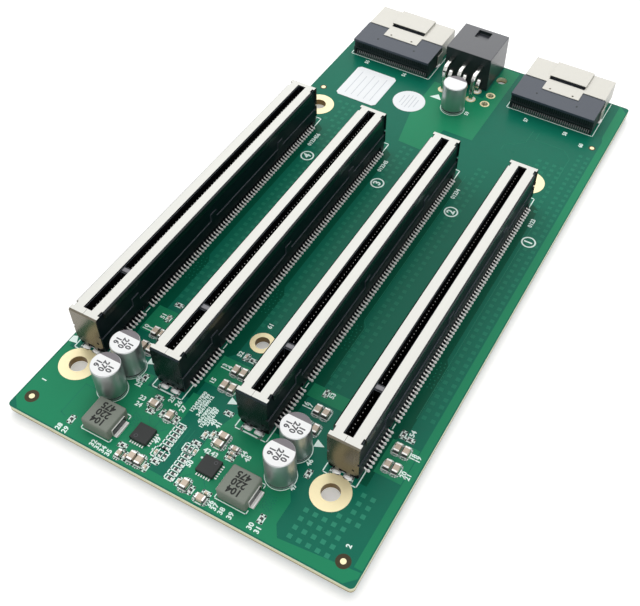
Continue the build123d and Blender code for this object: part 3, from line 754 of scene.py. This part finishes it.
def part_ink(shape):
    """Outlines of the larger parts."""
    stroke = 0.22
    for side in ("left", "right"):
        low, high = node_box(f"{side}_inductor_body")
        x, y = (low.x + high.x) / 2, (low.y + high.y) / 2
        half = (high.x - low.x) / 2 + 0.3
        arm = 0.8
        for turn in (-1, 1):
            edge, inner = y + turn * half, y + turn * (half - arm)
            bracket = [(x - half, inner), (x - half, edge), (x + half, edge), (x + half, inner)]
            add_stroke(shape, bracket, stroke, TOP, INK_STEP)
        low, high = node_box(f"{side}_connector_housing")
        left, right, near, far = low.x - 0.6, high.x + 0.6, low.y - 0.15, board_high.y - 0.5
        add_stroke(shape, [(left, far), (left, near), (right, near), (right, far)], stroke, TOP, INK_STEP)
    for side in ("left_front", "left_rear", "right_front", "right_rear", "header"):
        low, high = node_box(f"{side}_capacitor")
        x, y = (low.x + high.x) / 2, (low.y + high.y) / 2
        add_ring(shape, (x, y), 3.3, 3.12, TOP, INK_STEP, segments=48)
    add_plate(shape, [(-6.0, 68.4), (-4.2, 70.4), (-2.6, 68.4)], TOP, INK_STEP)
    low, high = node_box("left_regulator_chip")
    add_disc(shape, (high.x + 1.5, low.y + 0.3, TOP), 0.22, INK_STEP, segments=10)
    low, high = node_box("right_regulator_chip")
    add_disc(shape, (low.x - 0.6, high.y - 0.8, TOP), 0.25, INK_STEP, segments=10)


FIGURE_SIZE = 1.5
FIRST_FIGURE = 10
LEVEL_FIGURES = (22, 23, 24, 42, 43)


def printed_figures(shape):
    """Plain figures beside the parts, which run on from the first, and columns of digits."""
    upward = math.pi / 2
    places = [
        (-24.2, -35.0), (-23.1, -35.0), (-24.2, -39.4), (-3.6, -35.4), (-2.4, -35.4), (-3.6, -39.6),
        (16.2, -35.2), (17.2, -35.2), (40.9, -35.4), (41.9, -35.4), (40.9, -39.8), (41.9, -39.8),
        (-16.4, -47.9), (-13.6, -50.3), (-13.4, -51.9), (-8.2, -47.6), (-6.4, -47.8), (-4.9, -48.4),
        (-23.9, -63.9), (-22.3, -63.9), (21.0, -63.4), (22.6, -63.4), (-15.6, -63.6), (-14.3, -63.7),
        (-13.0, -63.8), (-11.6, -63.9), (11.9, -63.3), (13.1, -63.4), (14.6, -63.5), (16.6, -63.5),
        (2.3, -48.0), (3.5, -48.0), (4.9, -54.1), (6.6, -54.1), (11.6, -51.2), (12.8, -51.6),
        (23.7, -46.4), (23.7, -52.6), (-17.2, -46.8), (-5.0, -56.9), (3.6, -58.1), (-22.7, -30.6),
        (-2.4, -31.0), (19.9, -30.6), (38.4, -30.6), (-28.1, 73.4), (-16.4, 73.4), (20.8, 72.4),
        (31.9, 72.4), (5.9, 66.8), (37.2, 70.0), (-0.9, -21.4),
    ]
    for number, place in enumerate(places, FIRST_FIGURE):
        turn = 0.0 if number in LEVEL_FIGURES else upward
        add_digits(shape, str(number), place, FIGURE_SIZE, turn, TOP, INK_STEP)
    for digits, place in (("1", (-33.9, -56.6)), ("2", (38.9, -57.9))):
        add_digits(shape, digits, place, FIGURE_SIZE, upward, TOP, INK_STEP)
    column_text = ("1234567890", "23456789", "3456789012", "45678901")
    column_places = ((-3.2, -45.4), (-2.3, -45.0), (-1.4, -45.6), (-0.3, -47.4), (0.6, -47.6), (1.4, -47.2))
    for order, place in enumerate(column_places):
        add_digits(shape, column_text[order % len(column_text)], place, 1.1, upward, TOP, INK_STEP)
    for number in SLOTS:
        place = (slot_xs[number] + 6.3, 36.8)
        add_digits(shape, "0123456"[: 3 + number], place, FIGURE_SIZE, upward, TOP, INK_STEP)


def board_print():
    shape = bmesh.new()
    slot_ink(shape)
    chip_ink(shape)
    part_ink(shape)
    printed_figures(shape)
    new_piece("board_print", shape, [white_ink])


# Card slots

def slot_feet(number, side_name, side):
    """The row of bent contact feet, each with its pad and a low round blob of solder over its sole."""
    shape = bmesh.new()
    x = slot_xs[number]
    half, pad_half = 0.14, 0.22
    profile = [(2.75, 0.7), (3.1, 0.66), (3.55, 0.3), (4.1, 0.26), (4.2, 0.06), (3.5, 0.06), (3.0, 0.5),
               (2.75, 0.52)]
    for y in contact_ys:
        add_box(shape, (x + side * 3.4, y - pad_half, TOP), (x + side * 4.3, y + pad_half, TOP + PAD_STEP),
                index=1)
        outline = [(x + side * across, y - half, TOP + up) for across, up in profile]
        add_prism(shape, outline, (0, 2 * half, 0))
        add_disc(shape, (x + side * 4.08, y, TOP), 0.35, 0.27, segments=10, index=1, top_radius=0.28)
    bmesh.ops.recalc_face_normals(shape, faces=shape.faces)
    new_piece(f"slot_{number}_feet_{side_name}", shape, [tin, solder],
              (f"slot_{number}_contacts_{side_name}",))


def slot_ribs(number):
    """Thin ribs of the moulding between the contact feet, under the ledge, and low black blocks on the board
    between the feet as painted shade.
    """
    shape = bmesh.new()
    x = slot_xs[number]
    rib_half, shade_half, key_clear = 0.18, 0.28, 2.0
    for side in (-1, 1):
        inner, outer, shade_outer = x + side * 2.88, x + side * 3.34, x + side * 3.76
        for y in contact_ys:
            middle = y + CONTACT_PITCH / 2
            if abs(middle - key_y) < key_clear:
                continue
            add_box(shape, (inner, middle - rib_half, TOP + 0.45), (outer, middle + rib_half, TOP + 2.0))
            # Low black blocks between the feet: painted shade on the board.
            add_box(shape, (inner, middle - shade_half, TOP), (shade_outer, middle + shade_half, TOP + 0.32))
    new_piece(f"slot_{number}_ribs", shape, [slot_moulding])


def slot_springs(number):
    """The contact springs in the mouth of the slot: a strip each in near-black painted shade, with a bright
    contact point.
    """
    shape = bmesh.new()
    x = slot_xs[number]
    for side in (-1, 1):
        for y in contact_ys:
            inner, outer = x + side * 0.76, x + side * MOUTH_HALF
            add_box(shape, (inner, y - 0.16, TOP + 6.0), (outer, y + 0.16, TOP + 10.6), index=1)
            point = bmesh.ops.create_uvsphere(shape, u_segments=8, v_segments=4, radius=0.14)["verts"]
            bmesh.ops.translate(shape, vec=(x + side * 0.72, y, TOP + 9.0), verts=point)
    new_piece(f"slot_{number}_springs", shape, [tin, slot_shade_and_seam])


def end_solder(number):
    """Solder over the shroud's legs at both ends, on the board's top, and the leg ends below it."""
    shape = bmesh.new()
    x = slot_xs[number]
    for end, outward in ((shroud_low.y + 0.15, -1), (shroud_high.y - 0.15, 1)):
        for side in (-1, 1):
            leg_x = x + side * LEG_X
            pad_y = end + outward * 0.3
            outline = rounded_outline((leg_x, pad_y), 1.85, 1.25, 0.4)
            add_plate(shape, outline, TOP, PAD_STEP)
            add_dome(shape, Vector((leg_x, pad_y, TOP + PAD_STEP)), (0.84, 0.56, 0.32))
            add_dome(shape, Vector((leg_x, end, UNDER)), (0.95, 0.7, -0.5))
    new_piece(f"slot_{number}_end_solder", shape, [solder], smooth=True)


def add_dome(shape, centre, radii, segments=20, rings=10):
    """Half of a ball, flattened: up from its centre, or down where the last radius is negative."""
    verts = bmesh.ops.create_uvsphere(shape, u_segments=segments, v_segments=rings, radius=1.0)["verts"]
    lower = [vert for vert in verts if vert.co.z < -0.01]
    bmesh.ops.delete(shape, geom=lower, context="VERTS")
    kept = [vert for vert in verts if vert.is_valid]
    rim = list({edge for vert in kept for edge in vert.link_edges if edge.is_boundary})
    bmesh.ops.holes_fill(shape, edges=rim)
    bmesh.ops.scale(shape, vec=radii, verts=kept)
    bmesh.ops.translate(shape, vec=centre, verts=kept)
    if radii[2] < 0:
        bmesh.ops.reverse_faces(shape, faces=list({face for vert in kept for face in vert.link_faces}))


def card_slots():
    mouth_half = MOUTH_HALF + 0.1

    # The top takes the lit steel; the side walls and the low skirt take the dark copy of the same steel,
    # painted shade.
    def shroud_face(face):
        if abs(face.normal.y) > 0.5:
            return 2
        low_down = face.calc_center_median().z < shroud_high.z - 1.5
        return 1 if low_down or abs(face.normal.x) > 0.5 else 0

    for number in SLOTS:
        x = slot_xs[number]

        # Faces inside the mouth and on its floor take the near-black material, painted shade in the recess.
        def housing_face(face):
            centre = face.calc_center_median()
            inside = abs(centre.x - x) < mouth_half and centre.z > TOP + 2 and face.normal.z < 0.9
            floor_of_mouth = abs(centre.x - x) < mouth_half and face.normal.z > 0.9 and centre.z < TOP + 6
            return 2 if inside or floor_of_mouth else 0

        # Slots 1 and 4 take the warm copy and slots 2 and 3 the dark one: painted reflection on the same
        # steel end plates.
        plate = painted_warm_reflection_plate if number in (1, 4) else painted_dark_reflection_plate
        refined(f"slot_{number}_shroud", [shroud_metal, steel_side_painted_shade, plate], 0.05, shroud_face)
        # Faces made by the housing's bevel take the lighter copy, a painted highlight along the edges.
        refined(f"slot_{number}_housing", [slot_moulding, slot_edge_painted_highlight, slot_shade_and_seam], 0.04, housing_face,
                edge_index=1)
        for side_name, side in (("left", -1), ("right", 1)):
            slot_feet(number, side_name, side)
        slot_ribs(number)
        slot_springs(number)
        end_solder(number)
        slot_trim(number)


def slot_trim(number):
    """The bar across the mouth at the key, the seam in the near cap, and a near-black patch in each end plate
    for a stamped pip, painted shade in its hollow.
    """
    shape = bmesh.new()
    x = slot_xs[number]
    top = shroud_high.z
    key = add_box(shape, (x - 0.88, key_y - 0.5, top - 0.72), (x + 0.88, key_y + 0.5, top - 0.42))
    ease(shape, key, 0.06)
    new_piece(f"slot_{number}_key_bar", shape, [key_moulding])
    marks = bmesh.new()
    near = shroud_low.y
    add_box(marks, (x - 0.03, near + 0.35, top - 0.01), (x + 0.03, window_near - 0.05, top + 0.004))
    # Near-black patches on the end plates: painted shade in the stamped pips.
    for end, outward in ((near, -1), (shroud_high.y, 1)):
        inner, outer = end - outward * 0.05, end + outward * 0.012
        add_box(marks, (x + 2.0, inner, TOP + 2.9), (x + 2.5, outer, TOP + 3.5))
    new_piece(f"slot_{number}_pips", marks, [slot_shade_and_seam])


# Cable connectors and power header

def cable_connector(side_name):
    housing = f"{side_name}_connector_housing"
    shell = f"{side_name}_connector_shell"
    rear_low, rear_high = node_box(housing)
    centre_x = (rear_low.x + rear_high.x) / 2
    rear = rear_low.y

    # Upper faces take the connector moulding; lower and downward faces take the darker copy, painted shade.
    def housing_index(face):
        centre = face.calc_center_median()
        return 0 if centre.z > TOP + 4.15 and face.normal.z > -0.5 else 1

    refined(housing, [connector_moulding, moulding_painted_shade], 0.08, housing_index)
    refined(shell, [shell_metal], 0.06)
    pitch, count = 0.6, 37
    places = [centre_x + (order - (count - 1) / 2) * pitch for order in range(count)]
    feet = bmesh.new()
    half = 0.11
    profile = [(1.3, 0.85), (0.95, 0.85), (0.6, 0.2), (0.1, 0.15), (0.1, 0.04), (0.72, 0.04), (1.05, 0.7),
               (1.3, 0.7)]
    for x in places:
        outline = [(x - half, rear + back, TOP + up) for back, up in profile]
        add_prism(feet, outline, (2 * half, 0, 0))
        add_box(feet, (x - 0.16, rear - 0.05, TOP), (x + 0.16, rear + 0.85, TOP + PAD_STEP), index=1)
    bmesh.ops.recalc_face_normals(feet, faces=feet.faces)
    new_piece(f"{side_name}_connector_feet", feet, [foot_metal, foot_metal],
              (f"{side_name}_connector_contacts",))
    # The rear-wall ribs in the darker copy, painted shade.
    ribs = bmesh.new()
    for x in places[:-1]:
        middle = x + pitch / 2
        add_box(ribs, (middle - 0.14, rear + 0.34, TOP + 2.3), (middle + 0.14, rear + 0.56, TOP + 4.18))
        add_box(ribs, (middle - 0.14, rear + 1.05, TOP + 0.35), (middle + 0.14, rear + 1.32, TOP + 1.9))
    for side in (-1, 1):
        inner, outer = centre_x + side * 5.4, centre_x + side * 5.9
        add_box(ribs, (inner, rear + 3.0, TOP + 4.9), (outer, rear + 3.5, TOP + 4.93))
    new_piece(f"{side_name}_connector_ribs", ribs, [moulding_painted_shade])
    # Dimples drawn as flat dark discs: painted shade in their hollows.
    dimples = bmesh.new()
    for side in (-1, 1):
        add_disc(dimples, (centre_x + side * 3.2, rear + 6.6, TOP + 5.1), 0.28, 0.012, segments=16)
    new_piece(f"{side_name}_connector_dimples", dimples, [laminate_and_dimple_shade])
    joints = bmesh.new()
    low, high = node_box(shell)
    for side, edge in ((-1, low.x), (1, high.x)):
        add_dome(joints, Vector((edge - side * 0.12, rear + 7.0, TOP)), (0.6, 1.1, 0.4))
        add_dome(joints, Vector((edge - side * 0.12, rear + 7.0, UNDER)), (0.6, 1.1, -0.45))
    new_piece(f"{side_name}_connector_solder", joints, [solder], smooth=True)


def header_pins():
    """Square wire pins with a rounded bend, from the header's rear down through the board."""
    shape = bmesh.new()
    bend, half, steps = 2.0, 0.56, 8
    for low, high in solids_of("power_header_pins"):
        x = (low.x + high.x) / 2
        outer_y, top = low.y - 0.06, high.z + 0.06
        outer = [(outer_y, low.z), (outer_y, top - bend)]
        inner = [(outer_y + 2 * half, low.z), (outer_y + 2 * half, top - bend)]
        for step in range(1, steps + 1):
            angle = math.pi / 2 * step / steps
            turn_y, turn_z = outer_y + bend, top - bend
            outer.append((turn_y - bend * math.cos(angle), turn_z + bend * math.sin(angle)))
            small = bend - 2 * half
            inner.append((turn_y - small * math.cos(angle), turn_z + small * math.sin(angle)))
        outer.append((high.y, top))
        inner.append((high.y, top - 2 * half))
        outline = [(x - half, y, z) for y, z in outer + inner[::-1]]
        add_prism(shape, outline, (2 * half, 0, 0))
    bmesh.ops.recalc_face_normals(shape, faces=shape.faces)
    pins = new_piece("power_header_pins_dressed", shape, [pin_metal], ("power_header_pins",))
    round_edges(pins, 0.24, 3, 60)


def power_header():
    # Top and right faces take the header moulding; the other faces take the darker copy, painted shade.
    def housing_index(face):
        return 0 if face.normal.z > 0.5 or face.normal.x > 0.5 else 1

    refined("power_header_housing", [header_moulding, moulding_painted_shade], 0.12, housing_index)
    header_pins()
    joints = bmesh.new()
    for pin_low, pin_high in solids_of("power_header_pins"):
        x = (pin_low.x + pin_high.x) / 2
        y = pin_low.y + 0.5
        add_ring(joints, (x, y), 1.35, 0.75, TOP, PAD_STEP, segments=28, index=1)
        add_disc(joints, (x, y, TOP + PAD_STEP), 0.95, 0.25, segments=20, top_radius=0.72)
        add_disc(joints, (x, y, UNDER - 0.55), 0.7, 0.55, segments=20, top_radius=1.2)
    new_piece("power_header_solder", joints, [solder, gold_plate])


# Small parts

def radial_capacitor(name):
    """A drawn can, spun from its profile, with a printed top, a closed foot, and painted shade in the crimp
    groove.
    """
    low, high = node_box(name)
    x, y = (low.x + high.x) / 2, (low.y + high.y) / 2
    radius = (high.x - low.x) / 2
    height = high.z - TOP
    profile = [
        (radius - 0.5, 0.0), (radius - 0.2, 0.0), (radius - 0.15, 0.06), (radius - 0.15, 0.48),
        (radius - 0.28, 0.58), (radius - 0.4, 0.7), (radius - 0.3, 0.84), (radius - 0.04, 0.96),
        (radius, 1.1), (radius, height - 0.3), (radius - 0.06, height - 0.1), (radius - 0.18, height),
        (0.0, height),
    ]
    shape = bmesh.new()
    verts = [shape.verts.new((x + out, y, TOP + up)) for out, up in profile]
    edges = [shape.edges.new(pair) for pair in zip(verts, verts[1:])]
    bmesh.ops.spin(
        shape, geom=verts + edges, cent=(x, y, 0), axis=(0, 0, 1), angle=2 * math.pi, steps=56,
        use_merge=True, use_duplicate=False,
    )
    bmesh.ops.remove_doubles(shape, verts=shape.verts, dist=0.0005)
    foot = [edge for edge in shape.edges if edge.is_boundary]
    bmesh.ops.holes_fill(shape, edges=foot)
    bmesh.ops.recalc_face_normals(shape, faces=shape.faces)
    # Faces in the crimp groove take the darker moulding colour, painted shade.
    for face in shape.faces:
        rise = face.calc_center_median().z - TOP
        face.material_index = 1 if 0.5 < rise < 0.92 else 0
    can = new_piece(f"{name}_can", shape, [can_metal, moulding_painted_shade], (name,), smooth=True)
    creases = can.modifiers.new("flat rims", "EDGE_SPLIT")
    creases.split_angle = math.radians(50)
    top = bmesh.new()
    paper_radius = radius - 0.16
    chord = 0.52 * paper_radius
    count = 48
    white, grey = [], []
    for step in range(count):
        angle = 2 * math.pi * step / count
        point = (x + paper_radius * math.cos(angle), y + paper_radius * math.sin(angle))
        (white if point[1] <= y + chord else grey).append(point)
    reach = math.sqrt(paper_radius ** 2 - chord ** 2)
    ends = [(x + reach, y + chord), (x - reach, y + chord)]

    def around(points, centre):
        return sorted(points, key=lambda p: math.atan2(p[1] - centre[1], p[0] - centre[0]))

    add_plate(top, around(white + ends, (x, y - 0.2)), high.z, 0.01)
    add_plate(top, around(grey + ends, (x, y + chord + 0.3)), high.z, 0.01, index=1)
    if name != "header_capacitor":
        for row, digits in enumerate(("10", "270", "16")):
            place = (x + (1 - row) * 1.45, y - 0.5)
            add_digits(top, digits, place, 1.75, -math.pi / 2, high.z + 0.01, 0.006, index=2)
    new_piece(f"{name}_top", top, [can_white, can_grey, ink_grey])
    leads = bmesh.new()
    lead_offset, lead_radius, solder_drop = 1.25, 0.25, 0.6
    for lead_y in (y - lead_offset, y + lead_offset):
        add_disc(leads, (x, lead_y, low.z), lead_radius, -low.z, segments=12)
        add_disc(leads, (x, lead_y, UNDER - solder_drop), 0.3, solder_drop, segments=16, index=1,
                 top_radius=0.8)
    new_piece(f"{name}_leads", leads, [tin, solder])


def power_inductor(side_name):
    body = f"{side_name}_inductor_body"
    refined(body, [inductor_moulding], 0.1)
    # Terminal faces that look along x take the dark copy of the metal, painted shade.
    refined(f"{side_name}_inductor_terminals", [tin, steel_side_painted_shade], 0.04,
            lambda face: 1 if abs(face.normal.x) > 0.5 else 0)
    low, high = node_box(body)
    x, y = (low.x + high.x) / 2, (low.y + high.y) / 2
    marks = bmesh.new()
    for row, digits in enumerate(("104", "220", "475")):
        add_digits(marks, digits, (x, y + (row - 1) * 1.75), 2.1, math.pi, high.z, 0.008)
    new_piece(f"{side_name}_inductor_figures", marks, [ink_dark])
    joints = bmesh.new()
    for side in (-1, 1):
        add_box(joints, (x + side * 3.3, y - 1.9, TOP), (x + side * 4.3, y + 1.9, TOP + PAD_STEP))
    new_piece(f"{side_name}_inductor_pads", joints, [solder])


def regulator_chip(side_name):
    node = f"{side_name}_regulator_chip"
    refined(node, [chip_moulding], 0.05)
    low, high = node_box(node)
    x, y = (low.x + high.x) / 2, (low.y + high.y) / 2
    pins = bmesh.new()
    count, pitch, gap, half, height = 6, 0.57, 0.12, 0.14, 0.09
    long_reach, short_reach = 0.62, 0.3
    for order in range(count):
        offset = (order - (count - 1) / 2) * pitch
        for side, edge_x, edge_y, reach in ((1, high.x, low.y, long_reach), (-1, low.x, high.y, short_reach)):
            add_box(pins, (edge_x + side * gap, y + offset - half, TOP),
                    (edge_x + side * reach, y + offset + half, TOP + height))
            add_box(pins, (x + offset - half, edge_y - side * gap, TOP),
                    (x + offset + half, edge_y - side * reach, TOP + height))
    new_piece(f"{side_name}_chip_pins", pins, [solder])
    mark = bmesh.new()
    place = (x + 0.9, y + 1.1) if side_name == "right" else (x - 0.9, y - 1.1)
    add_ring(mark, place, 0.42, 0.3, high.z, 0.006, segments=20)
    new_piece(f"{side_name}_chip_mark", mark, [ink_grey])


def chip_parts(node, body_material, band):
    """Chip parts with a ceramic middle, wrapped metal ends and solder at their feet."""
    shape = bmesh.new()
    for low, high in solids_of(node):
        size = high - low
        along_x = size.x > size.y
        axis = 0 if along_x else 1
        proud = 0.025
        inset = Vector((proud, proud, 0))
        inset[axis] = band * 0.6
        add_box(shape, low + inset, high - inset - Vector((0, 0, proud)))
        for near_end in (True, False):
            cap_low, cap_high = low.copy(), high.copy()
            if near_end:
                cap_high[axis] = low[axis] + band
            else:
                cap_low[axis] = high[axis] - band
            verts = add_box(shape, cap_low, cap_high, index=1)
            ease(shape, verts, min(0.07, band * 0.3))
            # On taller parts the upright faces of the metal ends take the dark copy, painted shade.
            for face in shape.faces:
                if size.z > 0.6 and face.material_index == 1 and abs(face.normal.z) < 0.4:
                    face.material_index = 3
            pad_low, pad_high = cap_low.copy(), cap_high.copy()
            grow = 0.22 if size.length > 1.5 else 0.14
            if near_end:
                pad_low[axis] -= grow
            else:
                pad_high[axis] += grow
            pad_low.z, pad_high.z = TOP, TOP + PAD_STEP
            add_box(shape, pad_low, pad_high, index=2)
    new_piece(f"{node}_dressed", shape, [body_material, tin, solder, tin_side_painted_shade], (node,))


def paper_labels():
    for node in ("round_label", "square_label"):
        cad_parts[node].data.materials.clear()
        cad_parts[node].data.materials.append(label_paper)
    low, high = node_box("square_label")
    lines = bmesh.new()
    for order in range(5):
        x = low.x + 2.2 + order * 1.9
        add_line(lines, (x, low.y + 1.6), (x, high.y - 2.0 - 1.3 * (order % 2)), 0.22, high.z, 0.01)
    low, high = node_box("round_label")
    middle = (low + high) / 2
    for order, reach in enumerate((1.6, 2.4, 2.7, 2.4, 1.6)):
        x = middle.x + (order - 2) * 1.05
        add_line(lines, (x, middle.y - reach), (x, middle.y + reach), 0.26, high.z, 0.01)
    new_piece("label_ruling", lines, [label_ink])


def dress_board():
    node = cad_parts["circuit_board"]
    node.data.materials.clear()
    node.data.materials.append(board_mask)


# Stage

SKY_LIGHT = 0.6
FLOOR_GLOW = 0.3


def seen_rays(nodes, links):
    """1 for what is seen directly, in a reflection or through glass, and 0 for light that falls on things."""
    path = nodes.new("ShaderNodeLightPath")
    seen = path.outputs["Is Camera Ray"]
    for kind in ("Is Glossy Ray", "Is Transmission Ray"):
        seen = math_node(nodes, links, "MAXIMUM", seen, path.outputs[kind])
    return seen


def stage():
    scene = bpy.context.scene
    floor_mesh = bpy.data.meshes.new("floor")
    shape = bmesh.new()
    bmesh.ops.create_grid(shape, x_segments=1, y_segments=1, size=3.0)
    bmesh.ops.translate(shape, vec=(0, 0, cad_bounds[0][2] - 0.00002), verts=shape.verts)
    shape.to_mesh(floor_mesh)
    shape.free()
    floor = bpy.data.objects.new("floor", floor_mesh)
    scene.collection.objects.link(floor)
    floor_mesh.materials.append(floor_material())
    world = bpy.data.worlds.new("studio")
    scene.world = world
    world.use_nodes = True
    nodes, links = world.node_tree.nodes, world.node_tree.links
    sky = nodes["Background"]
    sky.inputs["Color"].default_value = (1, 1, 1, 1)
    strength = math_node(nodes, links, "MULTIPLY_ADD", seen_rays(nodes, links), 1.0 - SKY_LIGHT, SKY_LIGHT)
    links.new(strength, sky.inputs["Strength"])
    add_light("overhead", (-0.17, 0.3, 0.42), (0.0, 0.02, 0.0), 0.7, 2.3)
    add_light("front fill", (0.34, -0.42, 0.3), (0.0, 0.0, 0.0), 0.4, 0.6)


def floor_material():
    """A pale floor, which looks white where no shadow falls."""
    material = bpy.data.materials.new("pale_floor")
    material.use_nodes = True
    nodes, links = material.node_tree.nodes, material.node_tree.links
    surface = nodes["Principled BSDF"]
    set_inputs(surface, {"Base Color": (0.9, 0.9, 0.9, 1), "Roughness": 0.9, "Specular IOR Level": 0.0,
                         "Emission Color": (1, 1, 1, 1)})
    glow = math_node(nodes, links, "MULTIPLY", seen_rays(nodes, links), FLOOR_GLOW)
    links.new(glow, surface.inputs["Emission Strength"])
    return material


def add_light(name, place, target, size, power):
    lamp = bpy.data.lights.new(name, "AREA")
    lamp.shape = "SQUARE"
    lamp.size = size
    lamp.energy = power
    holder = bpy.data.objects.new(name, lamp)
    holder.location = place
    holder.rotation_euler = (Vector(place) - Vector(target)).to_track_quat("Z", "Y").to_euler()
    bpy.context.scene.collection.objects.link(holder)


def camera():
    """The camera that took the photograph, solved from the contact rows."""
    azimuth, elevation, roll = math.radians(27.05), math.radians(50.23), math.radians(2.21)
    lens = bpy.data.cameras.new("camera")
    lens.sensor_width = 36.0
    lens.lens = 52.72
    lens.shift_x = -0.0574
    lens.shift_y = 0.0022
    lens.clip_start = 0.01
    holder = bpy.data.objects.new("camera", lens)
    holder.location = Vector((73.1, -125.6, 162.1)) * MM
    back = Vector((
        math.sin(azimuth) * math.cos(elevation), -math.cos(azimuth) * math.cos(elevation), math.sin(elevation)
    ))
    aim = back.to_track_quat("Z", "Y").to_matrix()
    holder.rotation_euler = (aim @ Matrix.Rotation(roll, 3, "Z")).to_euler()
    bpy.context.scene.collection.objects.link(holder)
    bpy.context.scene.camera = holder


dress_board()
solder_mask_areas()
copper_tiles()
tracks_and_vias()
hole_plating()
board_print()
card_slots()
for side_name in ("left", "right"):
    cable_connector(side_name)
    power_inductor(side_name)
    regulator_chip(side_name)
power_header()
for name in ("left_front_capacitor", "left_rear_capacitor", "right_front_capacitor", "right_rear_capacitor",
             "header_capacitor"):
    radial_capacitor(name)
chip_parts("ceramic_capacitors", ceramic, 0.42)
chip_parts("tiny_ceramic_capacitors", ceramic, 0.24)
chip_parts("chip_resistors", resistor_black, 0.24)
paper_labels()
stage()
camera()
bpy.context.scene.view_settings.view_transform = "Standard"
